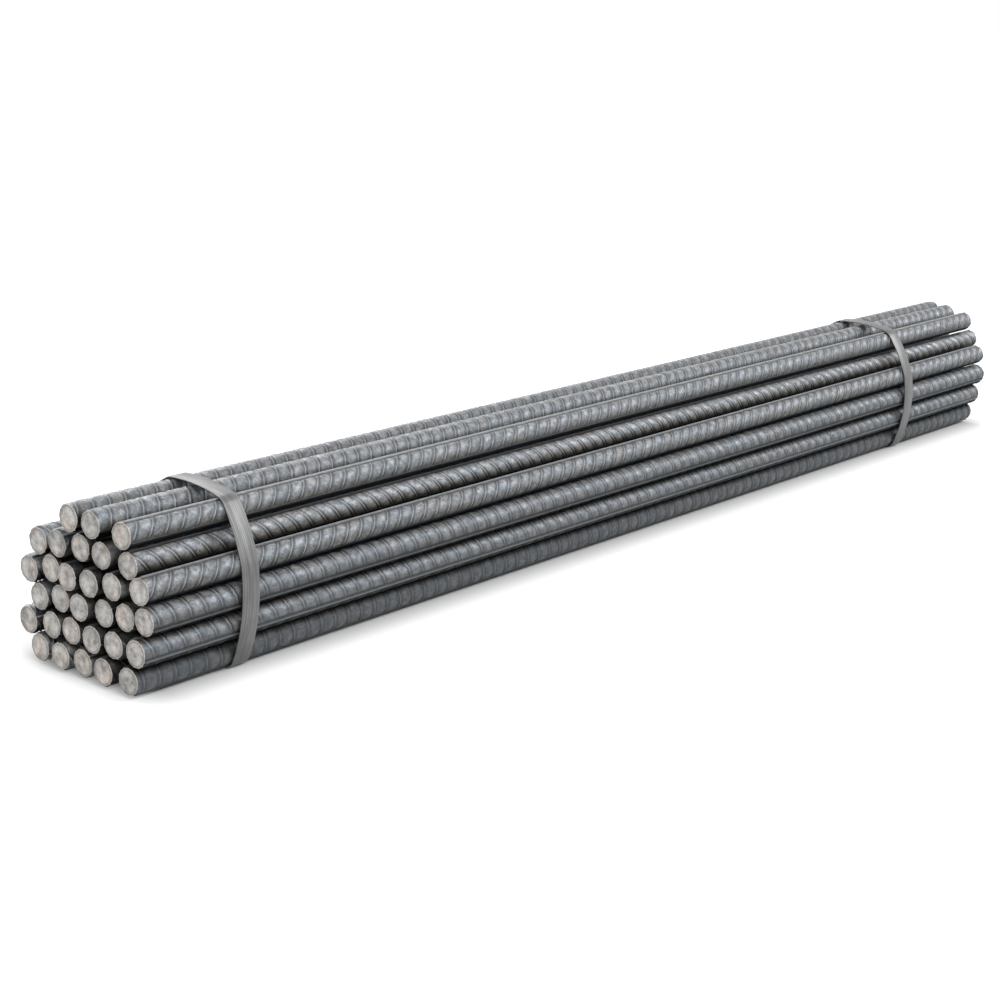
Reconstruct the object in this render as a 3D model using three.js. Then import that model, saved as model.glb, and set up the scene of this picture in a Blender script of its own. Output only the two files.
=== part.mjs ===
// A strapped bundle of ribbed reinforcing bars, in millimetres, +Z up.
//
// The bars lie along X. Across the bundle is Y, and the straps' undersides lie on Z = 0.
// Each bar is laid by a rule, row by row: it sits as low as the bars under it allow.
// Two steel straps are drawn tight round the finished stack.

import * as THREE from "three";

// ---------------------------------------------------------------- driving dimensions

// Bar of nominal diameter 20: its round core, and the ribs that stand on it.
const barLength = 1200;
const coreDiameter = 19.6;
const ribHeight = 1.55;
const seamRibWidth = 2.2; // the two ribs that run along the bar, opposite each other
const crescentStart = 12; // degrees from a seam rib to where the crescent ribs begin
const crescentFull = 22; // degrees from a seam rib to where they reach full height
const crestFacets = 8; // flats on each side of the bar's outline

// Stack.
const restGap = 0.3; // between pieces that rest on each other
const rowSlack = 0.1; // added between neighbours of one row, so that none rides up

// Straps: flat steel band, its ends lapped and spot-welded on the far side.
const strapWidth = 16;
const strapThickness = 1;
const strapLap = 60;
const strapFarBow = 500; // radius that it bows to on the far side, where it was drawn tight and welded
const strapTopBow = 200; // the same from the highest bar to the next
const strapNearBow = 125; // the same down the near side, where its stiffness tells most
const leftStrapInset = 85; // from the bars' left ends to the middle of its near side
const leftStrapLean = 0; // degrees that it leans to the left, off upright
const leftStrapSkew = 7; // degrees that its far side is swung to the right, off square
const rightStrapInset = 174; // the same four for the other strap, from the right ends
const rightStrapLean = 5.6;
const rightStrapSkew = 10;
const strapBendStep = 7.5; // degrees between two points of a bend round a bar
const strapBowStep = 2.5; // degrees between two points of a bow between bars

// The rows, from the floor up. Bars go from the far side to the near one.
// slots: places across the row, in bar pitches. slips: how far each bar has slid along X.
// rolls: how far each bar is turned about its own axis, in degrees.
// spares: how much longer than barLength each bar was cut.
const rows = [
  {
    slots: [-0.25, 0.95, 2, 3.15, 4.4],
    slips: [-1, -4, -3, -6, -7],
    rolls: [20, 75, 140, 48, 65],
    spares: [0, 0, 0, 0, 4],
  },
  {
    slots: [-0.9, 0.3, 1.4, 2.5, 3.55, 4.75],
    slips: [1, 1, -1, -3, -3, -6],
    rolls: [160, 33, 101, 12, 66, 25],
    spares: [0, 0, 0, 0, 0, 3],
  },
  {
    slots: [-0.3, 0.7, 1.9, 2.95, 3.95, 4.95],
    slips: [2, 3, -2, 1, 1, -1],
    rolls: [58, 127, 82, 151, 39, 30],
    spares: [0, 0, 0, 0, 0, -1],
  },
  {
    slots: [-0.95, 0.25, 1.5, 2.5, 3.5, 5],
    slips: [5, 4, -4, -3, -1, -5],
    rolls: [110, 8, 172, 63, 94, 97],
    spares: [0, 0, 0, 0, 0, -4],
  },
  {
    slots: [-0.4, 0.7, 1.85, 2.9, 4.15],
    slips: [5, 3, 3, 2, 2],
    rolls: [45, 136, 17, 88, 98],
    spares: [0, 0, 0, 0, 9],
  },
  {
    slots: [1.8, 2.8, 4.25],
    slips: [-5, -4, -4],
    rolls: [50, 40, 104],
    spares: [26, 18, -5],
  },
];

// ---------------------------------------------------------------- worked-out sizes

const coreRadius = coreDiameter / 2;
const crestRadius = coreRadius + ribHeight; // the round that the ribs' crests describe
const contactDistance = 2 * crestRadius + restGap;
const barPitch = contactDistance + rowSlack;
const lowestBarHeight = strapThickness + restGap + crestRadius;
const strapInnerReach = crestRadius + restGap; // from a bar's axis to the strap that it bears on

// ---------------------------------------------------------------- materials

const barSteel = new THREE.MeshStandardMaterial({
  color: 0x6f7174,
  roughness: 0.55,
  metalness: 0.8,
});
const strapSteel = new THREE.MeshStandardMaterial({
  color: 0x8b8a8a,
  roughness: 0.4,
  metalness: 0.9,
});

// ---------------------------------------------------------------- bars

const onRound = (radius, degrees) => {
  const angle = THREE.MathUtils.degToRad(degrees);
  return new THREE.Vector2(radius * Math.cos(angle), radius * Math.sin(angle));
};

// One half of the bar's outline as seen along its axis: a seam rib, the dip beside it,
// the rounded flank that the crescent ribs' crests make, and the dip before the next seam rib.
function halfOutline() {
  const halfRib = seamRibWidth / 2;
  const ribRoot = Math.sqrt(coreRadius ** 2 - halfRib ** 2);
  const ribTip = Math.sqrt(crestRadius ** 2 - halfRib ** 2);
  const points = [
    new THREE.Vector2(ribRoot, -halfRib),
    new THREE.Vector2(ribTip, -halfRib),
    new THREE.Vector2(ribTip, halfRib),
    new THREE.Vector2(ribRoot, halfRib),
    onRound(coreRadius, crescentStart),
  ];
  const flank = 180 - 2 * crescentFull;
  for (let i = 0; i <= crestFacets; i++) {
    points.push(onRound(crestRadius, crescentFull + (flank * i) / crestFacets));
  }
  points.push(onRound(coreRadius, 180 - crescentStart));
  return points;
}

function barGeometry(length) {
  const half = halfOutline();
  const otherHalf = half.map((p) => p.clone().negate());
  const section = new THREE.Shape([...half, ...otherHalf]);
  return new THREE.ExtrudeGeometry(section, {
    depth: length,
    bevelEnabled: false,
  });
}

// ---------------------------------------------------------------- stack

// The lowest height at which a bar's axis can lie at this place across the stack.
function restingHeight(across, laidBars) {
  let height = lowestBarHeight;
  for (const bar of laidBars) {
    const aside = Math.abs(across - bar.across);
    if (aside < contactDistance) {
      const rise = Math.sqrt(contactDistance ** 2 - aside ** 2);
      height = Math.max(height, bar.height + rise);
    }
  }
  return height;
}

function layStack() {
  const laidBars = [];
  for (const row of rows) {
    row.slots.forEach((slot, i) => {
      const across = -slot * barPitch;
      laidBars.push({
        across,
        height: restingHeight(across, laidBars),
        slip: row.slips[i],
        roll: THREE.MathUtils.degToRad(row.rolls[i]),
        length: barLength + row.spares[i],
      });
    });
  }
  return laidBars;
}

// ---------------------------------------------------------------- straps

// The bow by which the strap leaves one bar for another, on the way up the far side,
// over the top and down the near side. It bears on both bars from outside.
function bowBetween(fromBar, toBar, radius) {
  const span = toBar.clone().sub(fromBar);
  const inward = new THREE.Vector2(-span.y, span.x).normalize();
  const centreReach = radius - strapInnerReach;
  const depth = Math.sqrt(centreReach ** 2 - (span.length() / 2) ** 2);
  const centre = fromBar.clone().addScaledVector(span, 0.5).addScaledVector(inward, depth);
  return {
    centre,
    radius,
    leaves: fromBar.clone().sub(centre).angle(),
    arrives: toBar.clone().sub(centre).angle(),
  };
}

// The strap's way round the stack: arcs, each with its centre, its inner radius, the outward
// directions between which it runs, and the step between its points. It starts under the
// lowest row's far bar and ends under that row's near bar. From there it lies straight along
// the floor. It is bowed tighter over the top, and tightest down the near side.
function strapPath(laidBars) {
  const bars = laidBars.map(({ across, height }) => new THREE.Vector2(across, height));
  const highestBar = bars.reduce((best, bar, i) => (bar.y > bars[best].y ? i : best), 0);
  const nearBar = rows[0].slots.length - 1;
  const turn = (from, to) => THREE.MathUtils.euclideanModulo(to - from, 2 * Math.PI);
  const [down, downAgain] = [-Math.PI / 2, (3 * Math.PI) / 2];
  const bend = (bar, from, to) => ({
    centre: bars[bar],
    radius: strapInnerReach,
    from,
    to,
    step: strapBendStep,
  });
  const path = [];
  let bar = 0;
  let facing = down;
  let bow = strapFarBow;
  while (bar !== nearBar) {
    if (bow === strapTopBow) bow = strapNearBow;
    if (bar === highestBar) bow = strapTopBow;
    // Of the bows to all other bars, the strap takes the one that leaves first.
    const bows = bars.map((other, i) => ({ to: i, ...bowBetween(bars[bar], other, bow) }));
    const next = bows
      .filter(({ to }) => to !== bar)
      .reduce((best, one) =>
        turn(facing, one.leaves) < turn(facing, best.leaves) ? one : best,
      );
    const leaves = facing + turn(facing, next.leaves);
    const arrives = leaves + turn(next.leaves, next.arrives);
    const { centre, radius } = next;
    path.push(
      bend(bar, facing, leaves),
      { centre, radius, from: leaves, to: arrives, step: strapBowStep },
    );
    bar = next.to;
    facing = arrives;
  }
  path.push(bend(bar, facing, downAgain));
  return path;
}

// The points of that way, lifted off its inner face by part or all of the strap's thickness.
function strapOutline(path, lift) {
  const pointAt = ({ centre, radius }, direction) =>
    onRound(radius + lift, THREE.MathUtils.radToDeg(direction)).add(centre);
  const points = path.flatMap((arc) => {
    const sweep = arc.to - arc.from;
    const steps = Math.ceil(THREE.MathUtils.radToDeg(sweep) / arc.step);
    return Array.from({ length: steps }, (_, i) => pointAt(arc, arc.from + (sweep * i) / steps));
  });
  return [...points, pointAt(path.at(-1), path.at(-1).to)];
}

// The same line with its thickness doubled where the strap's two ends lap.
// The lap is centred on the outline's farthest point across, which starts the walk.
function addLap(outline) {
  const far = outline.reduce((best, p, i) => (p.x > outline[best].x ? i : best), 0);
  const ring = [...outline.slice(far), ...outline.slice(0, far)];
  const at = (i) => ring[(i + ring.length) % ring.length];
  const outward = (from, to) =>
    new THREE.Vector2(to.y - from.y, from.x - to.x).normalize();

  // Walks away from the start, one way or the other, lifting points until half the lap is used.
  const walk = (step) => {
    const lifted = [];
    let left = strapLap / 2;
    let i = 0;
    for (; ; i += step) {
      const [here, next] = [at(i), at(i + step)];
      const normal = step > 0 ? outward(here, next) : outward(next, here);
      const length = here.distanceTo(next);
      if (length > left) {
        const end = here.clone().lerp(next, left / length);
        lifted.push(end.clone().addScaledVector(normal, strapThickness), end);
        return { lifted, used: Math.abs(i) };
      }
      left -= length;
      const beyond = at(i + 2 * step);
      const nextNormal = step > 0 ? outward(next, beyond) : outward(beyond, next);
      const mean = normal.add(nextNormal).normalize();
      lifted.push(next.clone().addScaledVector(mean, strapThickness));
    }
  };
  const ahead = walk(1);
  const behind = walk(-1);
  const startNormal = outward(at(-1), at(0)).add(outward(at(0), at(1))).normalize();
  const start = at(0).clone().addScaledVector(startNormal, strapThickness);
  const plain = ring.slice(ahead.used + 1, ring.length - behind.used);
  return [start, ...ahead.lifted, ...plain, ...behind.lifted.reverse()];
}

// A strap from the left edge to the right one. Its lean slides it sideways with its height,
// and its skew slides it sideways with the distance from its near side.
function strapGeometry(laidBars, lean, skew) {
  const path = strapPath(laidBars);
  const outline = addLap(strapOutline(path, strapThickness));
  const band = new THREE.Shape(outline);
  band.holes.push(new THREE.Path(strapOutline(path, 0)));
  const nearSide = Math.min(...outline.map((p) => p.x));
  const [leaning, skewed] = [-Math.tan(lean), Math.tan(skew)];
  return new THREE.ExtrudeGeometry(band, { depth: strapWidth, bevelEnabled: false })
    .applyMatrix4(new THREE.Matrix4().makeShear(0, skewed, 0, leaning, 0, 0))
    .translate(0, 0, -skewed * nearSide);
}

// ---------------------------------------------------------------- assembly

// Everything is laid out with its section in X, Y and its length along Z.
// Turning the stack a third of a turn about (1, 1, 1) lays it down: the length becomes X,
// the places across become Y, and the heights become Z.
const stack = new THREE.Group();
stack.quaternion.setFromAxisAngle(
  new THREE.Vector3(1, 1, 1).normalize(),
  (2 * Math.PI) / 3,
);

const laidBars = layStack();
laidBars.forEach(({ across, height, slip, roll, length }, i) => {
  const bar = new THREE.Mesh(barGeometry(length), barSteel);
  bar.name = `bar_${String(i + 1).padStart(2, "0")}`;
  bar.position.set(across, height, slip - barLength / 2);
  bar.rotation.z = roll;
  stack.add(bar);
});

const straps = {
  strap_left: {
    middle: leftStrapInset - barLength / 2,
    lean: leftStrapLean,
    skew: leftStrapSkew,
  },
  strap_right: {
    middle: barLength / 2 - rightStrapInset,
    lean: rightStrapLean,
    skew: rightStrapSkew,
  },
};
for (const [name, { middle, lean, skew }] of Object.entries(straps)) {
  const turns = [lean, skew].map(THREE.MathUtils.degToRad);
  const shape = strapGeometry(laidBars, ...turns);
  const strap = new THREE.Mesh(shape, strapSteel);
  strap.name = name;
  strap.position.z = middle - strapWidth / 2;
  stack.add(strap);
}

// The origin is under the middle of the bundle, on the floor.
const middle = new THREE.Box3().setFromObject(stack, true).getCenter(new THREE.Vector3());
stack.position.set(-middle.x, -middle.y, 0);

const rebarBundle = new THREE.Group();
rebarBundle.name = "rebar_bundle";
rebarBundle.add(stack);

export default rebarBundle;
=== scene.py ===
# %% [markdown]
# # A strapped bundle of ribbed reinforcing bars
#
# Thirty-one hot-rolled steel bars lie in a stack, and two flat steel straps hold them together.
# The engineering model gives every piece its place and its true size. This lesson dresses it:
# the bars get the ribs that the rolls press into them, their ends look sawn, the straps get
# rounded edges, and every surface gets its own procedural finish.
#
# The first cell loads the model as a fixed frame. Nothing in it is moved or resized later.

# %% Load the frame
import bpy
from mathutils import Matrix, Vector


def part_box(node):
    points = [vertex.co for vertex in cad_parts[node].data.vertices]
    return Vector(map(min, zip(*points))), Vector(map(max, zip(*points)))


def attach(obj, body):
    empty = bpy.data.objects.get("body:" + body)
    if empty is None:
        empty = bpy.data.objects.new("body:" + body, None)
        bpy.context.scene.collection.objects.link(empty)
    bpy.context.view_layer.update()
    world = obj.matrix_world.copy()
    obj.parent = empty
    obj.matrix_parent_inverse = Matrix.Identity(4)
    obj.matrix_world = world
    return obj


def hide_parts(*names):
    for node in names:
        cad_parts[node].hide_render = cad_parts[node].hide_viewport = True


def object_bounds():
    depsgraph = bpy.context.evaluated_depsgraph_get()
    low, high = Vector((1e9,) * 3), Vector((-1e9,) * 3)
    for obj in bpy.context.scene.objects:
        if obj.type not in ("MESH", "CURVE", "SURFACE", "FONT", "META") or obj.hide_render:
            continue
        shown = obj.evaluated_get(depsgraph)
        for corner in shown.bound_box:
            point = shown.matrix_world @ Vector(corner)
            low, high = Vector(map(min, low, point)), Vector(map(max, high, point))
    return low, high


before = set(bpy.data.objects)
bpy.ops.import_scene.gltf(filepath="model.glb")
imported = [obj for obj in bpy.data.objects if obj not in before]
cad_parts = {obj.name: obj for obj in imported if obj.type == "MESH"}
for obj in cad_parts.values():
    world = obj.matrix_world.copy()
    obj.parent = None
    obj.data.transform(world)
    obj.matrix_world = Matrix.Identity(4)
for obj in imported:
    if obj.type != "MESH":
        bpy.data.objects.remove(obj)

cad_low, cad_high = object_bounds()
print("CAD box, mm:", [round(1000 * side) for side in cad_high - cad_low])

# %% [markdown]
# The frame is in metres, but a bar is thought of in millimetres, so lengths are written as a
# number times MM. Places across the bundle are complex numbers: turning one by an angle is a
# single multiplication. The view transform is set to Standard, so that a colour renders as it
# is written.

# %% Tools for the lesson
import cmath
import math

import bmesh
import bpy
from mathutils import Matrix, Vector

MM = 0.001
scene = bpy.context.scene
scene.view_settings.view_transform = "Standard"
print("view transform:", scene.view_settings.view_transform)

# %% [markdown]
# ## The camera
#
# A long stack is best seen from low down and well off to one side, so that both the cut ends
# and the whole length show. A long lens from almost two metres away keeps the bars nearly
# parallel. The camera comes first, so that every later render is framed the same way.

# %% The camera
CAMERA_PLACE = Vector((-1412, -1078.7, 470)) * MM
CAMERA_AZIMUTH = math.radians(-49.33)
CAMERA_ELEVATION = math.radians(14.45)
CAMERA_LENS = 70.35
SENSOR_WIDTH = 36

camera_data = bpy.data.cameras.new("camera")
camera_data.sensor_width = SENSOR_WIDTH
camera_data.lens = CAMERA_LENS
camera = bpy.data.objects.new("camera", camera_data)
camera.location = CAMERA_PLACE
camera.rotation_euler = (math.pi / 2 - CAMERA_ELEVATION, 0, CAMERA_AZIMUTH)
scene.collection.objects.link(camera)
scene.camera = camera
print("lens", CAMERA_LENS, "mm,", round(CAMERA_PLACE.length, 2), "m from the bundle's middle")

# %% [markdown]
# ## Reading a bar's place from the frame
#
# Each bar of the frame is the plain outline that its ribs' crests describe. Its box gives the
# bar's axis and its two ends. The outline dips to the bar's core on both sides of each
# lengthwise rib, so the corners that lie nearest to the axis tell how the bar is rolled.
# The two lengthwise ribs are half a turn apart. Doubling each corner's angle brings both ribs
# to the same direction, so that the corners can simply be added up.

# %% Where each bar lies and how it is rolled
CORE_RADIUS = 9.8 * MM
CREST_RADIUS = 11.35 * MM


def bar_place(name):
    """The bar's middle, its length, and the direction of its seam rib, from 0 to half a turn."""
    low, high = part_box(name)
    middle = (low + high) / 2
    doubled = 0
    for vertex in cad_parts[name].data.vertices:
        arm = complex(vertex.co.y - middle.y, vertex.co.z - middle.z)
        if abs(arm) < (CORE_RADIUS + CREST_RADIUS) / 2:
            doubled += (arm / abs(arm)) ** 2
    seam = (cmath.phase(doubled) / 2) % math.pi
    return middle, high.x - low.x, seam


bar_names = sorted(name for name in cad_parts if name.startswith("bar_"))
places = {name: bar_place(name) for name in bar_names}
top_seam = math.degrees(places[bar_names[-1]][2])
print(len(places), "bars; the seam rib of", bar_names[-1], "points to", round(top_seam), "degrees")

# %% [markdown]
# ## The ribs of a bar
#
# Hot rolls press two kinds of rib into a bar. Two narrow seam ribs run along it, where the
# rolls meet. Between them, crescent ribs cross each side, and they lean, one way on one side
# and the other way on the other. The core swells a little between two crescent ribs. A smooth
# height over the bar's core describes all of this: it depends on the place along the bar and
# on the angle round it, counted from a seam rib.

# %% The height of the ribs
RIB_PITCH = 14.2 * MM
RIB_HEIGHT = 1.5 * MM
RIB_TOP = 0.35 * MM  # half the width of a crescent rib's crest
RIB_FOOT = 1.15 * MM  # half its width where it rises from the core
RIBS_START = math.radians(9)  # from the middle of a seam rib to a crescent rib's thin end
RIB_TAPER = 6  # the power by which a crescent rib falls off: the higher, the later it does
SECOND_RIB_SHARE = 0.9  # the height of every second rib, as a share of the others'
BARREL = 1.4 * MM  # how far the core swells between two ribs
SEAM_HEIGHT = 1.2 * MM
SEAM_TOP = 0.45 * MM
SEAM_FOOT = 1.1 * MM
LINE_HEIGHT = 0.6 * MM  # a low rolled line that ends the ribs on some bars
LINE_TOP = 0.3 * MM
LINE_FOOT = 0.65 * MM
USUAL_LEAN = 28
FULL_REACH = 171  # degrees from a seam rib to the far thin end of an ordinary crescent rib


class Rolling:
    """How one bar was rolled. The ribs' lean and their far end are in degrees, the phase is a
    share of their pitch, and the tone is how light the whole bar is painted next to the others':
    painted light for some bars and painted shade for others, for the light that reaches each."""

    def __init__(self, lean=USUAL_LEAN, phase=0, ribs_end=FULL_REACH, line=False, tone=1):
        self.lean = math.radians(lean)
        self.phase = phase * RIB_PITCH
        self.ribs_end = math.radians(ribs_end)
        self.line = line
        self.tone = tone

    def shift(self, angle):
        """How far a crescent rib has shifted along the bar at this angle from a seam rib."""
        from_middle = abs(angle % math.tau - math.pi) - math.pi / 2
        return CORE_RADIUS * math.tan(self.lean) * from_middle

    def place(self, along, angle):
        """The nearest crescent rib's number, and how far behind its middle this place is."""
        count = (along - self.phase - self.shift(angle)) / RIB_PITCH
        number = round(count)
        return number, (count - number) * RIB_PITCH

    def crescent(self, angle):
        """1 in the middle of a crescent rib's reach round the bar, falling to 0 at its ends."""
        middle = (RIBS_START + self.ribs_end) / 2
        sideways = (angle % math.pi - middle) / (self.ribs_end - middle)
        return max(0, 1 - sideways**RIB_TAPER)


def flank(distance, top, foot):
    """1 on a rib's crest, 0 beyond its foot, and a straight flank between."""
    return min(1, max(0, (foot - abs(distance)) / (foot - top)))


def from_seam(angle):
    """The distance round the bar to the nearest seam rib's middle."""
    return CORE_RADIUS * min(angle % math.pi, -angle % math.pi)


def on_crests(rolling, along, angle):
    """From 0 at the foot to 1 on the crest of a crescent rib, of a seam rib and of a line."""
    rib = flank(rolling.place(along, angle)[1], RIB_TOP, RIB_FOOT) * rolling.crescent(angle)
    seam = flank(from_seam(angle), SEAM_TOP, SEAM_FOOT)
    from_line = CORE_RADIUS * (angle % math.pi - rolling.ribs_end)
    line = flank(from_line, LINE_TOP, LINE_FOOT) if rolling.line else 0
    return rib, seam, line


def swell_share(rolling, along, angle):
    """How far the core has swollen between two crescent ribs: 0 at the ribs, 1 halfway."""
    off = rolling.place(along, angle)[1]
    return (1 - (1 - 2 * abs(off) / RIB_PITCH) ** 2) * rolling.crescent(angle)


def rib_height(rolling, along, angle):
    """Height over the core, at this distance along the bar and this angle from its seam rib."""
    number = rolling.place(along, angle)[0]
    rib, seam, line = on_crests(rolling, along, angle)
    rib *= SECOND_RIB_SHARE if number % 2 else 1
    swell = BARREL * swell_share(rolling, along, angle)
    return max(RIB_HEIGHT * rib, swell, SEAM_HEIGHT * seam, LINE_HEIGHT * line)


print("over the ribs:", round(2 * (CORE_RADIUS + RIB_HEIGHT) / MM, 1), "mm")

# %% [markdown]
# ## Dirt and painted shade
#
# Loose scale and dirt stay in the corners: beside the seam ribs, and behind each crescent
# rib, on the side that trailed as the bar left the rolls. These dark lines are partly dirt and
# partly painted shade, for the shadow behind each rib and the shade in the corners. They follow
# the same two coordinates as the ribs, so they are worked out beside their height and kept in
# the mesh.

# %% The dirt and painted shade in the corners
# Each row tells where the dirt and painted shade start, are full, thin out and have ended.
DIRT_AND_SHADE_BEHIND_RIB = (0.35 * MM, 1.1 * MM, 2.2 * MM, 3.8 * MM)
DIRT_AND_SHADE_BEFORE_RIB = (0.35 * MM, 1.1 * MM, 1.2 * MM, 2.0 * MM)
DIRT_AND_SHADE_BESIDE_SEAM = (0.5 * MM, 1.1 * MM, 1.7 * MM, 2.7 * MM)
BEFORE_SHARE = 0.7  # the dirt and painted shade before a rib, as a share of that behind it


def between(value, start, full, thins, ended):
    """Rises from 0 to 1 between the first two limits, and falls back between the others."""
    return max(0, min(1, (value - start) / (full - start), (ended - value) / (ended - thins)))


def dirt_and_shade_amount(rolling, along, angle):
    """From 0 where the bar is clean to 1 where the dirt and painted shade are darkest."""
    off = rolling.place(along, angle)[1]
    behind = between(off, *DIRT_AND_SHADE_BEHIND_RIB)
    before = between(-off, *DIRT_AND_SHADE_BEFORE_RIB) * BEFORE_SHARE
    beside_seam = between(from_seam(angle), *DIRT_AND_SHADE_BESIDE_SEAM)
    return max(max(behind, before) * rolling.crescent(angle), beside_seam)


print("dirt 3 mm behind a rib:", round(dirt_and_shade_amount(Rolling(), 3 * MM, math.pi / 2), 2))

# %% [markdown]
# Where a bar lies close to its neighbours, its scale is painted nearly black: painted shade for
# the shadow that fills the gaps. The painted shade reaches further round on the underside,
# towards the lower neighbours. A neighbour above paints its shade further down the bar the
# more it sits out over it. Light alone would darken the gaps too little, so each vertex also
# keeps how closely it faces a neighbour, and the finish paints the shade from that.

# %% The painted shade in the gaps between the bars
# The painted shade of a gap between two bars' cores is black where the gap is narrower than
# the first value, and gone where it is wider than the second. Bars inside the stack have
# limits of their own.
GAP_INSIDE = (3 * MM, 13 * MM)
GAP_BELOW = (8 * MM, 22 * MM)
GAP_BESIDE = (3 * MM, 12 * MM)
GAP_ABOVE = (2.4 * MM, 3.6 * MM)
STEEP = 0.8  # the rise, over the distance, from which a neighbour is below and not beside
# For a neighbour above, the painted shade reaches further down the bar the further out that
# neighbour sits. Its second value grows from the start below, by the reach below, over the
# turn from straight above to straight out.
OVERHANG_SHADE_START = -0.6 * MM
OVERHANG_SHADE_REACH = 44 * MM


def gap_limits(arm, outwards, inside):
    """The limits of the painted shade for the gap to a neighbour in this direction. Outwards is
    the bar's own side of the stack, 1 or -1."""
    if inside:
        return GAP_INSIDE
    rise = arm.imag / abs(arm)
    if rise < -STEEP:
        return GAP_BELOW
    if rise < 0:
        return GAP_BESIDE
    black, clean = GAP_ABOVE
    further_out = outwards * arm.real / abs(arm)
    return black, max(clean, OVERHANG_SHADE_START + OVERHANG_SHADE_REACH * further_out)


def gap_shade_amount(neighbours, angle):
    """Painted shade: 0 in the open, 1 where this side of the bar faces a neighbour closely."""
    here = cmath.rect(CORE_RADIUS, angle)
    amount = 0
    for other, (black, clean) in neighbours:
        gap = abs(other - here) - CORE_RADIUS
        amount = max(amount, min(1, (clean - gap) / (clean - black)))
    return amount


print("black on the underside: gaps of up to", round(GAP_BELOW[0] / MM), "mm")

# %% [markdown]
# ## Rolling a bar
#
# A bar could be carved from a dense cylinder, but narrow leaning ribs would need far too many
# faces. Instead the mesh is laid out the way that the ribs run. A flat grid is rolled up into
# a tube. Its rings are bunched up at the ribs and slanted to their lean, and its columns are
# bunched up at the seam ribs. So each rib's foot and crest has an edge of its own, and even
# the finest bar needs only some 64,000 triangles.

# %% The grids of a bar's mesh
# Columns are degrees from a seam rib, up to half a turn. Rings are mm along one rib pitch.
SEAM_COLUMNS = (2.6, 6.4, 10, 15.8, 24)
SEAM_COLUMNS_AHEAD = (167, 173.6, 177.4)
BACK_COLUMNS = (2.6, 6.4, 15.8, 35, 60, 85, 110, 135, 158, 173.6, 177.4)
INNER_COLUMNS = (2.6, 6.4, 28, 51, 74, 97, 120, 143, 165, 173.6, 177.4)
NEAR_RINGS = (-4.2, -2.0, -1.15, -0.35, 0.35, 1.15, 2.2, 3.8, 6.3)
BACK_RINGS = (-3.5, -1.15, -0.35, 0.35, 1.15, 3.5)
INNER_RINGS = (-1.4, 0, 1.4)
RIB_COLUMNS = 5  # between the ribs' two ends
END_SPAN = 12  # before the ribs' far end, where they fall off
END_COLUMNS = (-4, 0)  # about the ribs' far end
LINE_COLUMNS = (-4, -1.75, 0, 1.75, 4)  # about it where a line ends them
WIDE_SPARE = 20  # a wider plain strip beyond the ribs gets columns of its own
SPARE_COLUMNS = (0.35, 0.7)  # as shares of that strip
LEAST_STEP = 1  # between the last of these columns and the next seam rib's
WELD_DISTANCE = 0.01 * MM


def near_columns(rolling):
    """Columns that follow the ribs' two ends, and the rolled line if there is one."""
    start, end = SEAM_COLUMNS[-1], math.degrees(rolling.ribs_end)
    step = (end - END_SPAN - start) / RIB_COLUMNS
    middle = [start + step * (i + 1) for i in range(RIB_COLUMNS)]
    edge = [end + off for off in (LINE_COLUMNS if rolling.line else END_COLUMNS)]
    spare = SEAM_COLUMNS_AHEAD[0] - end
    beyond = [end + spare * share for share in SPARE_COLUMNS] if spare > WIDE_SPARE else []
    ahead = [column for column in SEAM_COLUMNS_AHEAD if column > edge[-1] + LEAST_STEP]
    return (*SEAM_COLUMNS, *middle, *edge, *beyond, *ahead)


def lay_grid(bm, length, rolling, columns, rings):
    """An open round tube along X whose rings and columns follow the ribs."""
    angles = [math.radians(column) for column in columns]
    angles += [angle + math.pi for angle in angles]
    angles.append(angles[0] + math.tau)
    spare = CORE_RADIUS * math.pi / 2 * abs(math.tan(rolling.lean)) + RIB_PITCH
    first = math.floor((-length / 2 - spare) / RIB_PITCH)
    pitches = math.ceil((length / 2 + spare) / RIB_PITCH) - first
    steps_along = pitches * len(rings)
    steps_round = len(angles) - 1
    # The grid runs from -0.5 to 0.5 both ways, which tells each vertex its ring and column.
    bmesh.ops.create_grid(bm, x_segments=steps_along, y_segments=steps_round, size=0.5)
    for vertex in bm.verts:
        pitch, ring = divmod(round((vertex.co.x + 0.5) * steps_along), len(rings))
        angle = angles[round((vertex.co.y + 0.5) * steps_round)]
        rib_middle = (first + pitch) * RIB_PITCH + rolling.phase + rolling.shift(angle)
        vertex.co.x = rib_middle + rings[ring] * MM
        vertex.co.y = CORE_RADIUS * math.cos(angle)
        vertex.co.z = CORE_RADIUS * math.sin(angle)
    joint = [vertex for vertex in bm.verts if vertex.is_boundary]
    bmesh.ops.remove_doubles(bm, verts=joint, dist=WELD_DISTANCE)


plain_columns = 2 * len(near_columns(Rolling()))
print("an ordinary near bar:", plain_columns, "columns,", len(NEAR_RINGS), "rings to a pitch")

# %% [markdown]
# ### Cutting to length
#
# The slanted rings reach past the bar's ends, and are cut off square, as a saw cuts a real bar.
# The ribs are lower in the last two millimetres, where the saw and the grinder wore them down.
# A second cut, which clears nothing, adds a ring of edges where that begins.

# %% Cut a bar and raise its ribs
END_FADE = 2 * MM  # from a cut end to where the ribs stand at their full height
END_SHARE = 0.2  # the ribs' share of their height at the cut itself


def cut(bm, at, outwards, clear):
    """A plane across the bar. It adds a ring of edges, and clears what is past it if asked to."""
    bmesh.ops.bisect_plane(
        bm,
        geom=bm.verts[:] + bm.edges[:] + bm.faces[:],
        dist=WELD_DISTANCE,
        plane_co=(at, 0, 0),
        plane_no=(outwards, 0, 0),
        clear_outer=clear,
    )


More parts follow.
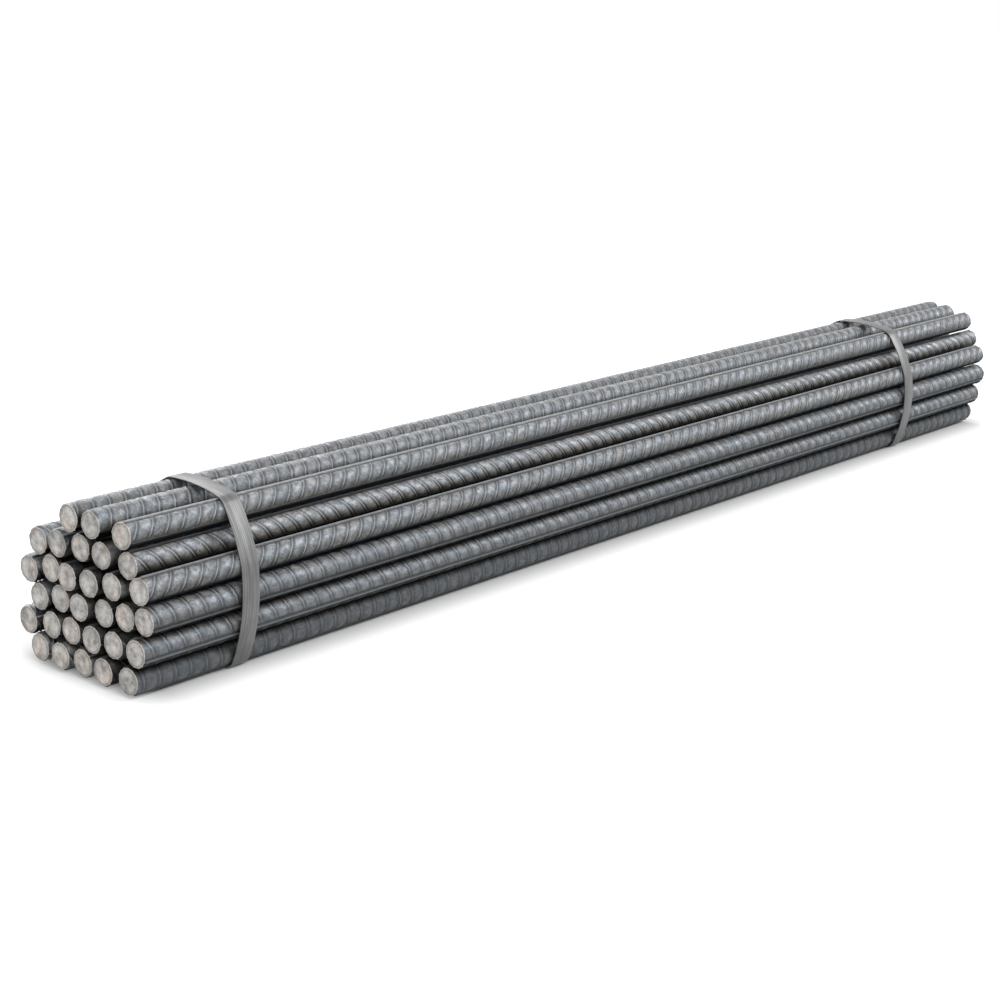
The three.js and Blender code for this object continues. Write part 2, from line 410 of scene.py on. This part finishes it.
def raise_ribs(bm, length, rolling, neighbours):
    """Moves every vertex out to its height, and keeps what the finish has to know."""
    crest = bm.verts.layers.float.new("crest")
    swell = bm.verts.layers.float.new("swell")
    dirt = bm.verts.layers.float.new("dirt")
    gap = bm.verts.layers.float.new("gap")
    tone = bm.verts.layers.float.new("tone")
    for vertex in bm.verts:
        along = vertex.co.x
        angle = math.atan2(vertex.co.z, vertex.co.y) % math.tau
        from_end = max(0, length / 2 - abs(along))
        fade = min(1, END_SHARE + (1 - END_SHARE) * from_end / END_FADE)
        height = rib_height(rolling, along, angle) * fade
        vertex.co.y = (CORE_RADIUS + height) * math.cos(angle)
        vertex.co.z = (CORE_RADIUS + height) * math.sin(angle)
        vertex[crest] = max(on_crests(rolling, along, angle)) * fade
        vertex[swell] = swell_share(rolling, along, angle)
        # The dirt value on a bar's side is dirt and painted shade together.
        vertex[dirt] = dirt_and_shade_amount(rolling, along, angle)
        vertex[gap] = gap_shade_amount(neighbours, angle)
        vertex[tone] = rolling.tone


print("the ribs fade over", round(END_FADE / MM), "mm at each end")

# %% [markdown]
# ### Closing the ends
#
# The grinder rounded the cut edge over and left it a shade darker than the sawn face. Inside
# that edge, the face has a dull ring. The open edge of the tube is extruded inwards again and
# again, with one step for each change, and the last small loop is filled.

# %% Close a bar's ends
# Each row is a step inwards, a step outwards, and how worn and how dull the steel is there.
END_STEPS = (
    (0.15 * MM, 0.35 * MM, 1, 0),
    (0.45 * MM, 0.15 * MM, 1, 0),
    (0.25 * MM, 0, 0, 1),
    (0.65 * MM, 0, 0, 1),
    (0.7 * MM, 0, 0, 0.3),
    (1.5 * MM, 0, 0, 0),
)
EDGE_BREAK = sum(outwards for _, outwards, _, _ in END_STEPS)


def close_ends(bm):
    """Rounds the cut edges over and closes both ends. The new faces take the second material."""
    crest = bm.verts.layers.float["crest"]
    dirt = bm.verts.layers.float["dirt"]
    side_faces = set(bm.faces)
    for side in (-1, 1):
        rim = [edge for edge in bm.edges if edge.is_boundary and side * edge.verts[0].co.x > 0]
        for inwards, outwards, worn, dull in END_STEPS:
            made = bmesh.ops.extrude_edge_only(bm, edges=rim)["geom"]
            for vertex in (part for part in made if isinstance(part, bmesh.types.BMVert)):
                arm = vertex.co.yz
                vertex.co.yz = arm * (1 - inwards / arm.length)
                vertex.co.x += side * outwards
                vertex[crest] = worn
                vertex[dirt] = dull
            rim = [e for e in made if isinstance(e, bmesh.types.BMEdge) and e.is_boundary]
        bmesh.ops.edgeloop_fill(bm, edges=rim)
    for face in bm.faces:
        if face not in side_faces:
            face.material_index = 1


def roll_bar(length, rolling, neighbours, columns, rings):
    """The whole bar as a bmesh: along X, its middle at the origin, its seam rib towards +Y.
    The neighbours are their middles as seen from this bar's middle, turned with the bar."""
    bm = bmesh.new()
    lay_grid(bm, length, rolling, columns, rings)
    for outwards in (-1, 1):
        cut(bm, outwards * (length / 2 - EDGE_BREAK), outwards, clear=True)
        cut(bm, outwards * (length / 2 - END_FADE), outwards, clear=False)
    raise_ribs(bm, length, rolling, neighbours)
    close_ends(bm)
    bmesh.ops.recalc_face_normals(bm, faces=bm.faces)
    for face in bm.faces:
        face.smooth = face.material_index == 0
    return bm


print("the cut edge is rounded over", round(EDGE_BREAK / MM, 2), "mm")

# %% [markdown]
# ## Thirty-one bars
#
# The bars on the near side get the fine grid. Those of the far side and the underside get a
# plainer one. The bars inside the stack show only their ends and glimpses between the others,
# so the coarsest grid is enough. The bars of one rolling differ in their lean and in where the
# saw met the ribs, so each has its own values.

# %% Which bars show, and how they were rolled
NEAR_BARS = (5, 11, 17, 23, 28, 29, 30, 31)
BACK_BARS = (1, 2, 3, 4, 6, 12, 18, 24, 25)
# On the side that faces the camera, a positive lean rises towards +X.
# The tones are painted light and shade: the lower bars are darker, as if in the shadow of those
# above, and bar 28 is lighter, against the shadow that bar 31 casts on its top.
ROLLINGS = {
    31: Rolling(lean=33, ribs_end=100, line=True, tone=1.05),
    28: Rolling(lean=-38, ribs_end=111, line=True, tone=1.25),
    23: Rolling(lean=35, ribs_end=116, tone=1.05),
    17: Rolling(lean=-10, tone=0.84),
    11: Rolling(lean=-14, tone=0.74),
    5: Rolling(lean=0, tone=0.34),
    30: Rolling(lean=17),
    29: Rolling(lean=17),
}
PHASE_STEP = 0.382  # the golden share spreads the ribs' starts evenly
NEIGHBOUR_REACH = 30 * MM


def number_of(name):
    """The number at the end of a bar's name."""
    return int(name[-2:])


def rolling_of(number):
    """The rolling given for this bar, or a usual one."""
    sign = 1 if number % 2 else -1
    usual = Rolling(lean=sign * USUAL_LEAN, phase=number * PHASE_STEP % 1)
    return ROLLINGS.get(number, usual)


def neighbours_of(name):
    """The nearby bars' middles as seen from this bar, in the frame that turns with its roll.
    With each goes the pair of limits for the painted shade of the gap to it."""
    middle, _, seam = places[name]
    inside = number_of(name) not in NEAR_BARS + BACK_BARS
    outwards = math.copysign(1, middle.y)
    arms = [
        complex(other.y - middle.y, other.z - middle.z)
        for key, (other, _, _) in places.items()
        if key != name
    ]
    return [
        (arm * cmath.rect(1, -seam), gap_limits(arm, outwards, inside))
        for arm in arms
        if abs(arm) < NEIGHBOUR_REACH
    ]


def grid_of(number, rolling):
    """The columns and rings that this bar's place in the stack calls for."""
    if number in NEAR_BARS:
        return near_columns(rolling), NEAR_RINGS
    if number in BACK_BARS:
        return BACK_COLUMNS, BACK_RINGS
    return INNER_COLUMNS, INNER_RINGS


def make_bar(name):
    """Builds one bar and puts it in its place in the stack."""
    middle, length, seam = places[name]
    rolling = rolling_of(number_of(name))
    columns, rings = grid_of(number_of(name), rolling)
    bm = roll_bar(length, rolling, neighbours_of(name), columns, rings)
    bm.transform(Matrix.Translation(middle) @ Matrix.Rotation(seam, 4, "X"))
    mesh = bpy.data.meshes.new(name + "_steel")
    bm.to_mesh(mesh)
    bm.free()
    bar = bpy.data.objects.new("ribbed_" + name, mesh)
    scene.collection.objects.link(bar)
    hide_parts(name)
    return bar


bars = [make_bar(name) for name in bar_names]
triangles = sum(len(p.vertices) - 2 for bar in bars for p in bar.data.polygons)
print(len(bars), "bars,", triangles, "triangles")

# %% [markdown]
# ## The straps
#
# Steel strapping is slit from cold-rolled sheet, so its long edges are slightly rounded.
# Its path round the stack is already right in the frame. A copy of the frame's mesh is welded
# into one surface, its flat faces are joined up, and only the long corners are bevelled.
# Those corners are right angles, and every bend of the path is far flatter.

# %% A strap with rounded edges
STRAP_EDGE = 0.3 * MM
STRAP_WELD = 0.005 * MM
FLAT_ANGLE = math.radians(0.5)  # faces that meet flatter than this are joined up
CORNER_ANGLE = 1  # in radians: a sharper edge is a corner
SMOOTH_ANGLE = math.radians(50)  # a flatter edge is shaded smooth


def runs_along_band(edge):
    """True for an edge that follows the strap, False for one that crosses it."""
    return abs(edge.verts[0].co.x - edge.verts[1].co.x) < edge.calc_length() / 2


def make_strap(name):
    """A copy of the frame's strap, welded, with its long edges rounded."""
    bm = bmesh.new()
    bm.from_mesh(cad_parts[name].data)
    bmesh.ops.remove_doubles(bm, verts=bm.verts, dist=STRAP_WELD)
    bmesh.ops.dissolve_limit(bm, angle_limit=FLAT_ANGLE, verts=bm.verts, edges=bm.edges)
    corners = [
        edge
        for edge in bm.edges
        if edge.calc_face_angle(0) > CORNER_ANGLE and runs_along_band(edge)
    ]
    bmesh.ops.bevel(
        bm,
        geom=corners,
        offset=STRAP_EDGE,
        segments=2,
        profile=0.5,
        affect="EDGES",
        material=-1,
    )
    for face in bm.faces:
        face.smooth = True
    for edge in bm.edges:
        edge.smooth = edge.calc_face_angle(0) < SMOOTH_ANGLE
    mesh = bpy.data.meshes.new(name + "_band")
    bm.to_mesh(mesh)
    bm.free()
    strap = bpy.data.objects.new("band_" + name, mesh)
    scene.collection.objects.link(strap)
    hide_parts(name)
    return strap


straps = [make_strap(name) for name in ("strap_left", "strap_right")]
print(len(straps), "straps,", len(straps[0].data.polygons), "faces each")

# %% [markdown]
# ## Finishes
#
# Hot steel leaves the rolls under a thin blue-grey oxide, the mill scale. The sawn ends are
# bare steel, and the straps are smooth and satin. A finish could be a painted image, but a
# node tree gives a pattern that has no seams and stays sharp at any distance. A few small
# helpers keep the trees short. Two effects are used by more than one finish, so each of them
# is a node group with its own inputs.

# %% Helpers for node trees
BLACK = (0, 0, 0)
WHITE = (1.0, 1.0, 1.0)


def grey(level):
    """A colour with three equal parts."""
    return (level, level, level)


def add_node(tree, kind, **values):
    """A node with its properties set. Names that match an input set that input's value."""
    node = tree.nodes.new(kind)
    for key, value in values.items():
        if hasattr(node, key):
            setattr(node, key, value)
        else:
            node.inputs[key.replace("_", " ")].default_value = value
    return node


def new_group(name, inputs, outputs):
    """A shader node group with float inputs and outputs, and its two end nodes."""
    tree = bpy.data.node_groups.new(name, "ShaderNodeTree")
    for label, default in inputs.items():
        socket = tree.interface.new_socket(label, in_out="INPUT", socket_type="NodeSocketFloat")
        socket.default_value = default
    for label in outputs:
        tree.interface.new_socket(label, in_out="OUTPUT", socket_type="NodeSocketFloat")
    return tree, tree.nodes.new("NodeGroupInput"), tree.nodes.new("NodeGroupOutput")


def ramp(tree, source, stops):
    """A colour ramp over a value. Stops are (position, colour)."""
    node = tree.nodes.new("ShaderNodeValToRGB")
    while len(node.color_ramp.elements) < len(stops):
        node.color_ramp.elements.new(0.5)
    for element, (position, colour) in zip(node.color_ramp.elements, stops):
        element.position = position
        element.color = (*colour, 1)
    tree.links.new(source, node.inputs["Fac"])
    return node.outputs["Color"]


def math_node(tree, operation, first, second):
    """A Math node between two sockets or numbers."""
    node = tree.nodes.new("ShaderNodeMath")
    node.operation = operation
    for socket, value in zip(node.inputs, (first, second)):
        if isinstance(value, (int, float)):
            socket.default_value = value
        else:
            tree.links.new(value, socket)
    return node.outputs[0]


def mix_colour(tree, amount, first, second, blend="MIX"):
    """A colour mix of two sockets or colours by a socket or number."""
    node = tree.nodes.new("ShaderNodeMix")
    node.data_type = "RGBA"
    node.blend_type = blend
    for label, kind, value in (
        ("Factor", "VALUE", amount),
        ("A", "RGBA", first),
        ("B", "RGBA", second),
    ):
        socket = next(s for s in node.inputs if s.name == label and s.type == kind)
        if isinstance(value, (int, float)):
            socket.default_value = value
        elif isinstance(value, tuple):
            socket.default_value = (*value, 1)
        else:
            tree.links.new(value, socket)
    return next(s for s in node.outputs if s.type == "RGBA")


def multiply(tree, first, second):
    """Two colours multiplied, with sockets or colours for both."""
    return mix_colour(tree, 1.0, first, second, "MULTIPLY")


print("white is", WHITE, "and a middle grey is", grey(0.5))

# %% [markdown]
# ### Mottle
#
# Patches a few millimetres to a few centimetres across, drawn out along the bars, and a fine
# speckle on top of them. Both read Object coordinates, so neighbouring bars differ.

# %% The mottle group


def make_mottle():
    """The group. Its sizes are in millimetres, and the stretch is a factor along the bars."""
    tree, given, result = new_group(
        "mottle",
        {"Patch Size": 12.0, "Stretch": 3.0, "Speckle Size": 1.2},
        ("Patches", "Speckle"),
    )
    coordinates = tree.nodes.new("ShaderNodeTexCoord")
    parts = tree.nodes.new("ShaderNodeSeparateXYZ")
    joined = tree.nodes.new("ShaderNodeCombineXYZ")
    tree.links.new(coordinates.outputs["Object"], parts.inputs[0])
    shrunk = math_node(tree, "DIVIDE", parts.outputs["X"], given.outputs["Stretch"])
    tree.links.new(shrunk, joined.inputs["X"])
    tree.links.new(parts.outputs["Y"], joined.inputs["Y"])
    tree.links.new(parts.outputs["Z"], joined.inputs["Z"])
    for size, output, detail in (("Patch Size", "Patches", 4), ("Speckle Size", "Speckle", 2)):
        noise = add_node(tree, "ShaderNodeTexNoise", Detail=detail, Roughness=0.6)
        tree.links.new(joined.outputs[0], noise.inputs["Vector"])
        scale = math_node(tree, "DIVIDE", 1 / MM, given.outputs[size])
        tree.links.new(scale, noise.inputs["Scale"])
        tree.links.new(noise.outputs[0], result.inputs[output])
    return tree


mottle = make_mottle()
print("group", mottle.name)

# %% [markdown]
# ### Drawn lines
#
# Rolling, slitting and sawing all leave fine lines in one direction. The pattern is a noise
# that is squeezed hard across the lines and hardly changes along them.

# %% The drawn lines group


def make_drawn_lines():
    """The group. Each input is how many times the pattern changes in a metre along that axis."""
    tree, given, result = new_group(
        "drawn_lines",
        {"Along X": 10.0, "Along Y": 10.0, "Along Z": 10.0},
        ("Lines",),
    )
    coordinates = tree.nodes.new("ShaderNodeTexCoord")
    scale = tree.nodes.new("ShaderNodeCombineXYZ")
    for axis in "XYZ":
        tree.links.new(given.outputs["Along " + axis], scale.inputs[axis])
    squeezed = add_node(tree, "ShaderNodeVectorMath", operation="MULTIPLY")
    tree.links.new(coordinates.outputs["Object"], squeezed.inputs[0])
    tree.links.new(scale.outputs[0], squeezed.inputs[1])
    noise = add_node(tree, "ShaderNodeTexNoise", Scale=1.0, Detail=3, Roughness=0.7)
    tree.links.new(squeezed.outputs[0], noise.inputs["Vector"])
    tree.links.new(noise.outputs[0], result.inputs["Lines"])
    return tree


drawn_lines = make_drawn_lines()
print("group", drawn_lines.name)

# %% [markdown]
# ### Mill scale on the bars
#
# Mill scale is mottled and pitted. It is rubbed lighter where a crest stands out. Where the core
# swells it is lighter and it darkens towards the ribs, partly rubbed wear and partly a painted
# highlight and painted shade. Beside the ribs it is dark with dirt and painted shade, between
# the bars with painted shade alone, and each whole bar is painted lighter or darker for the
# light that reaches it in the stack. Each layer is laid over the last one: scale, pits, swell,
# dirt, painted shade, wear.

# %% The colours of mill scale
# Each list is a colour ramp: a place on it, from 0 to 1, and the colour there.
SCALE_MOTTLE = [
    (0.34, (0.095, 0.092, 0.089)),
    (0.5, (0.176, 0.175, 0.175)),
    (0.66, (0.285, 0.289, 0.296)),
]
SCALE_HUE = [(0.38, (0.94, 1.0, 1.05)), (0.5, WHITE), (0.62, (1.04, 0.99, 0.96))]
SCALE_PITS = [(0.36, grey(0.8)), (0.43, BLACK)]
# Lighter where the core swells and darker towards the ribs: partly rubbed wear, partly a painted
# highlight on each swell and painted shade beside it.
SWELL_WEAR_AND_HIGHLIGHT = [
    (0.0, (0.5, 0.49, 0.48)),
    (0.45, (0.8, 0.79, 0.78)),
    (0.8, (1.13, 1.13, 1.14)),
]
# Dirt and painted shade beside the ribs and the seams.
DIRT_AND_SHADE_RAMP = [(0.0, BLACK), (1.0, grey(0.85))]
# Painted shade for the gaps between the bars and their undersides, warmer as it darkens.
PAINTED_GAP_SHADE = [
    (0.06, WHITE),
    (0.25, (0.72, 0.71, 0.69)),
    (0.45, (0.53, 0.5, 0.455)),
    (0.65, (0.44, 0.405, 0.35)),
    (0.8, (0.3, 0.265, 0.22)),
    (0.97, (0.02, 0.018, 0.016)),
]
CREST_WEAR = [(0.5, BLACK), (1.0, grey(0.42))]
OPEN_SIDE = [(0.4, WHITE), (0.9, BLACK)]
# The gaps turn metallic, so that their painted black also darkens what they reflect.
GAP_SHADE_METALLIC = [(0.3, BLACK), (1.0, WHITE)]
SCALE_ROUGHNESS = [(0.35, grey(0.56)), (0.65, grey(0.37))]
COVERED_ROUGHNESS = grey(0.8)
PIT_COLOUR = (0.05, 0.047, 0.044)
DIRT_AND_SHADE_COLOUR = (0.03, 0.027, 0.024)
WORN_COLOUR = (0.4, 0.395, 0.385)
SCALE_SHEEN = (0.72, 0.86, 1.0, 1)  # the blue of a thin oxide, in its reflections alone
print("middle tone of the scale:", SCALE_MOTTLE[1][1])

# %% The bars' finish


def new_material(name):
    """A material, its node tree and its shader."""
    material = bpy.data.materials.new(name)
    material.use_nodes = True
    return material, material.node_tree, material.node_tree.nodes["Principled BSDF"]


def place_group(tree, group, **values):
    """A group placed in a tree, with values for its inputs."""
    node = tree.nodes.new("ShaderNodeGroup")
    node.node_tree = group
    for key, value in values.items():
        node.inputs[key.replace("_", " ")].default_value = value
    return node


def add_bump(tree, shader, height, distance, strength):
    """A bump of this depth under the shader."""
    bump = add_node(tree, "ShaderNodeBump", Strength=strength, Distance=distance)
    tree.links.new(height, bump.inputs["Height"])
    tree.links.new(bump.outputs[0], shader.inputs["Normal"])


def make_bar_steel():
    """Mill scale with painted highlight and shade. The attributes tell where a bar is worn,
    swollen, dirty and shaded, or painted dark beside a neighbour, and how light it is painted.
    """
    material, tree, shader = new_material("bar_mill_scale")
    spots = place_group(tree, mottle, Patch_Size=4.2, Stretch=1.2, Speckle_Size=1.5)
    clouds = place_group(tree, mottle, Patch_Size=22.0, Stretch=1.0, Speckle_Size=4.0)
    crest, swell, dirt, gap, tone = (
        add_node(tree, "ShaderNodeAttribute", attribute_name=name)
        for name in ("crest", "swell", "dirt", "gap", "tone")
    )
    scale = ramp(tree, spots.outputs["Patches"], SCALE_MOTTLE)
    scale = multiply(tree, scale, ramp(tree, clouds.outputs["Patches"], SCALE_HUE))
    # The whole bar is painted lighter or darker by its tone, for the light that reaches it.
    scale = multiply(tree, scale, tone.outputs["Color"])
    pits = ramp(tree, spots.outputs["Speckle"], SCALE_PITS)
    scale = mix_colour(tree, pits, scale, PIT_COLOUR)
    # Painted highlight on each swell and painted shade towards the ribs, partly rubbed wear.
    scale = multiply(tree, scale, ramp(tree, swell.outputs["Fac"], SWELL_WEAR_AND_HIGHLIGHT))
    # Dirt and painted shade beside the ribs and the seams.
    corners = ramp(tree, dirt.outputs["Fac"], DIRT_AND_SHADE_RAMP)
    scale = mix_colour(tree, corners, scale, DIRT_AND_SHADE_COLOUR)
    # Painted shade in the gaps between the bars and on their undersides.
    scale = multiply(tree, scale, ramp(tree, gap.outputs["Fac"], PAINTED_GAP_SHADE))
    worn = ramp(tree, crest.outputs["Fac"], CREST_WEAR)
    worn = multiply(tree, worn, ramp(tree, gap.outputs["Fac"], OPEN_SIDE))
    # Worn crests take the same painted light or shade of the bar's tone.
    worn = multiply(tree, worn, tone.outputs["Color"])
    scale = mix_colour(tree, worn, scale, WORN_COLOUR)
    tree.links.new(scale, shader.inputs["Base Color"])
    # Metallic in the gaps, so that the painted shade darkens the reflections there too.
    gap_shade_metal = ramp(tree, gap.outputs["Fac"], GAP_SHADE_METALLIC)
    tree.links.new(gap_shade_metal, shader.inputs["Metallic"])
    shader.inputs["Specular Tint"].default_value = SCALE_SHEEN
    shader.inputs["Specular IOR Level"].default_value = 0.95
    rough = ramp(tree, spots.outputs["Patches"], SCALE_ROUGHNESS)
    rough = mix_colour(tree, gap_shade_metal, rough, COVERED_ROUGHNESS)
    tree.links.new(rough, shader.inputs["Roughness"])
    add_bump(tree, shader, spots.outputs["Speckle"], 0.4 * MM, 0.8)
    return material


bar_steel = make_bar_steel()
print("finish", bar_steel.name)

# %% [markdown]
# ### Sawn ends
#
# A sawn end is bare steel that has greyed in the open: warm grey, speckled, with faint saw
# lines across it. It carries the same mottle as the scale, with larger patches, a finer
# speckle and lighter colours. The worn edge and the dull ring come from the two values that
# the end's own loops keep.

# %% The sawn ends' finish
SAWN_MOTTLE = [
    (0.34, (0.23, 0.213, 0.195)),
    (0.5, (0.44, 0.425, 0.405)),
    (0.66, (0.62, 0.595, 0.57)),
]
SAWN_HUE = [(0.38, (0.86, 0.88, 0.88)), (0.5, (0.96, 0.97, 0.98)), (0.62, (1.04, 0.97, 0.93))]
SAWN_SPOTS = [(0.32, grey(0.8)), (0.42, BLACK)]
DULL_RING = [(0.0, BLACK), (1.0, grey(0.95))]
RING_SPOTS = [(0.42, WHITE), (0.6, grey(0.3))]
WORN_EDGE = [(0.0, BLACK), (1.0, grey(0.6))]
SPOT_COLOUR = (0.2, 0.17, 0.14)
RING_COLOUR = (0.16, 0.14, 0.12)
EDGE_COLOUR = (0.3, 0.28, 0.26)


def make_sawn_steel():
    """Bare sawn steel, with a dull ring and a worn edge."""
    material, tree, shader = new_material("bar_sawn_end")
    spots = place_group(tree, mottle, Patch_Size=7.0, Stretch=1.0, Speckle_Size=1.0)
    clouds = place_group(tree, mottle, Patch_Size=30.0, Stretch=1.0, Speckle_Size=4.0)
    sawn = place_group(tree, drawn_lines, Along_X=10.0, Along_Y=90.0, Along_Z=1500.0)
    dirt = add_node(tree, "ShaderNodeAttribute", attribute_name="dirt")
    crest = add_node(tree, "ShaderNodeAttribute", attribute_name="crest")
    face = ramp(tree, spots.outputs["Patches"], SAWN_MOTTLE)
    face = multiply(tree, face, ramp(tree, clouds.outputs["Patches"], SAWN_HUE))
    dark = ramp(tree, spots.outputs["Speckle"], SAWN_SPOTS)
    face = mix_colour(tree, dark, face, SPOT_COLOUR)
    ring = ramp(tree, dirt.outputs["Fac"], DULL_RING)
    ring = multiply(tree, ring, ramp(tree, spots.outputs["Speckle"], RING_SPOTS))
    face = mix_colour(tree, ring, face, RING_COLOUR)
    edge = ramp(tree, crest.outputs["Fac"], WORN_EDGE)
    face = mix_colour(tree, edge, face, EDGE_COLOUR)
    tree.links.new(face, shader.inputs["Base Color"])
    shader.inputs["Metallic"].default_value = 0.25
    shader.inputs["Roughness"].default_value = 0.5
    add_bump(tree, shader, sawn.outputs["Lines"], 0.1 * MM, 0.5)
    return material


sawn_steel = make_sawn_steel()
print("finish", sawn_steel.name)

# %% [markdown]
# ### Satin straps
#
# Cold-rolled strapping is smooth and satin, with fine lines along the band. The lines set its
# tone and a very shallow bump, and wide soft clouds keep it from looking new.

# %% The straps' finish
STRAP_LINES = [(0.35, (0.09, 0.09, 0.091)), (0.65, (0.21, 0.21, 0.211))]
STRAP_CLOUDS = [(0.3, grey(0.85)), (0.7, grey(1.12))]


def make_strap_steel():
    """Satin steel with lines along the band."""
    material, tree, shader = new_material("strap_satin")
    spots = place_group(tree, mottle, Patch_Size=20.0, Stretch=1.0, Speckle_Size=1.5)
    drawn = place_group(tree, drawn_lines, Along_X=1100.0, Along_Y=14.0, Along_Z=14.0)
    tone = ramp(tree, drawn.outputs["Lines"], STRAP_LINES)
    tone = multiply(tree, tone, ramp(tree, spots.outputs["Patches"], STRAP_CLOUDS))
    tree.links.new(tone, shader.inputs["Base Color"])
    shader.inputs["Metallic"].default_value = 0.5
    shader.inputs["Roughness"].default_value = 0.42
    add_bump(tree, shader, drawn.outputs["Lines"], 0.08 * MM, 0.4)
    return material


strap_steel = make_strap_steel()
print("finish", strap_steel.name)

# %% [markdown]
# ### Putting it together
#
# A bar has two materials, scale on its side and sawn steel on its ends. The closing step
# already gave the end faces the second place. Nothing on a bundle moves, so every piece rides
# on the one body of the frame.

# %% Put the finishes on and tie every piece to its body
for bar in bars:
    bar.data.materials.append(bar_steel)
    bar.data.materials.append(sawn_steel)
    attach(bar, "root")
for strap in straps:
    strap.data.materials.append(strap_steel)
    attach(strap, "root")
print("finished", len(bars) + len(straps), "pieces")

# %% [markdown]
# ## The studio
#
# The bundle lies on a white floor under soft, even light. The floor is lit like the bundle,
# so it keeps the soft dark line where the bundle touches it. Away from the bundle a faint glow
# that only the camera and mirrors see carries it up to pure white.

# %% The floor
FLOOR_SIZE = 40
FLOOR_WHITE = 0.52
GLOW_START = -30 * MM  # distance outwards from the bundle's box
GLOW_FULL = 20 * MM
GLOW_STRENGTH = 0.65


def seen_or_mirrored(tree):
    """1 for camera, glossy and transmission rays."""
    path = tree.nodes.new("ShaderNodeLightPath")
    total = math_node(tree, "ADD", path.outputs["Is Camera Ray"], path.outputs["Is Glossy Ray"])
    total = math_node(tree, "ADD", total, path.outputs["Is Transmission Ray"])
    return math_node(tree, "MINIMUM", total, 1.0)


def distance_beyond_bundle(tree):
    """How far a place on the floor is beyond the line where the glow starts."""
    coordinates = tree.nodes.new("ShaderNodeTexCoord")
    parts = tree.nodes.new("ShaderNodeSeparateXYZ")
    tree.links.new(coordinates.outputs["Object"], parts.inputs[0])
    beyond = []
    for axis, reach in (("X", cad_high.x), ("Y", cad_high.y)):
        off = math_node(tree, "ABSOLUTE", parts.outputs[axis], 0.0)
        off = math_node(tree, "SUBTRACT", off, reach + GLOW_START)
        off = math_node(tree, "MAXIMUM", off, 0.0)
        beyond.append(math_node(tree, "MULTIPLY", off, off))
    return math_node(tree, "POWER", math_node(tree, "ADD", *beyond), 0.5)


def make_floor():
    """A wide white plane that glows for the camera away from the bundle."""
    bpy.ops.mesh.primitive_plane_add(size=FLOOR_SIZE)
    floor = bpy.context.object
    floor.name = "floor"
    material, tree, shader = new_material("floor_white")
    shader.inputs["Base Color"].default_value = (*grey(FLOOR_WHITE), 1)
    shader.inputs["Roughness"].default_value = 1.0
    shader.inputs["Specular IOR Level"].default_value = 0.0
    glow = add_node(tree, "ShaderNodeMapRange", interpolation_type="SMOOTHSTEP")
    glow.inputs["From Max"].default_value = GLOW_FULL - GLOW_START
    glow.inputs["To Max"].default_value = GLOW_STRENGTH
    tree.links.new(distance_beyond_bundle(tree), glow.inputs["Value"])
    strength = math_node(tree, "MULTIPLY", glow.outputs["Result"], seen_or_mirrored(tree))
    shader.inputs["Emission Color"].default_value = (*WHITE, 1)
    tree.links.new(strength, shader.inputs["Emission Strength"])
    floor.data.materials.append(material)
    return floor


floor = make_floor()
print("floor", FLOOR_SIZE, "m")

# %% [markdown]
# ### The lights
#
# Wide suns stand in for large softboxes: they cast soft shadows, and they light a long bundle
# evenly from end to end. Three of them light the near side and the cut ends. Two more stand
# behind, so that the far side isn't black when it is looked at. The world adds a low level of
# light from everywhere, while the camera and mirrors see it pure white.

# %% The lights
# Each sun has the direction that its light comes from, its strength, and its apparent width
# in degrees.
SUNS = {
    "softbox_left": ((-0.94, -0.22, 0.25), 1.32, 40),
    "softbox_front": ((-0.2, -0.72, 0.66), 1.8, 30),
    "softbox_right": ((0.65, -0.55, 0.52), 1.5, 25),
    "softbox_back": ((0.35, 0.7, 0.62), 1.3, 40),
    "softbox_behind": ((0.1, 0.95, 0.3), 1.0, 40),
}
AMBIENT = 0.2


def make_sun(name, towards_light, strength, softness):
    """A sun that shines from the given direction."""
    data = bpy.data.lights.new(name, "SUN")
    data.energy = strength
    data.angle = math.radians(softness)
    sun = bpy.data.objects.new(name, data)
    sun.rotation_euler = Vector(towards_light).to_track_quat("Z", "Y").to_euler()
    scene.collection.objects.link(sun)


def make_world():
    """A white world that lights the bundle only at the ambient level."""
    world = bpy.data.worlds.new("studio")
    scene.world = world
    world.use_nodes = True
    tree = world.node_tree
    backdrop = tree.nodes["Background"]
    level = add_node(tree, "ShaderNodeMapRange")
    level.inputs["To Min"].default_value = AMBIENT
    level.inputs["To Max"].default_value = 1.0
    tree.links.new(seen_or_mirrored(tree), level.inputs["Value"])
    tree.links.new(level.outputs["Result"], backdrop.inputs["Strength"])
    backdrop.inputs["Color"].default_value = (*WHITE, 1)


for name, settings in SUNS.items():
    make_sun(name, *settings)
make_world()
print(len(SUNS), "suns, ambient light", AMBIENT)
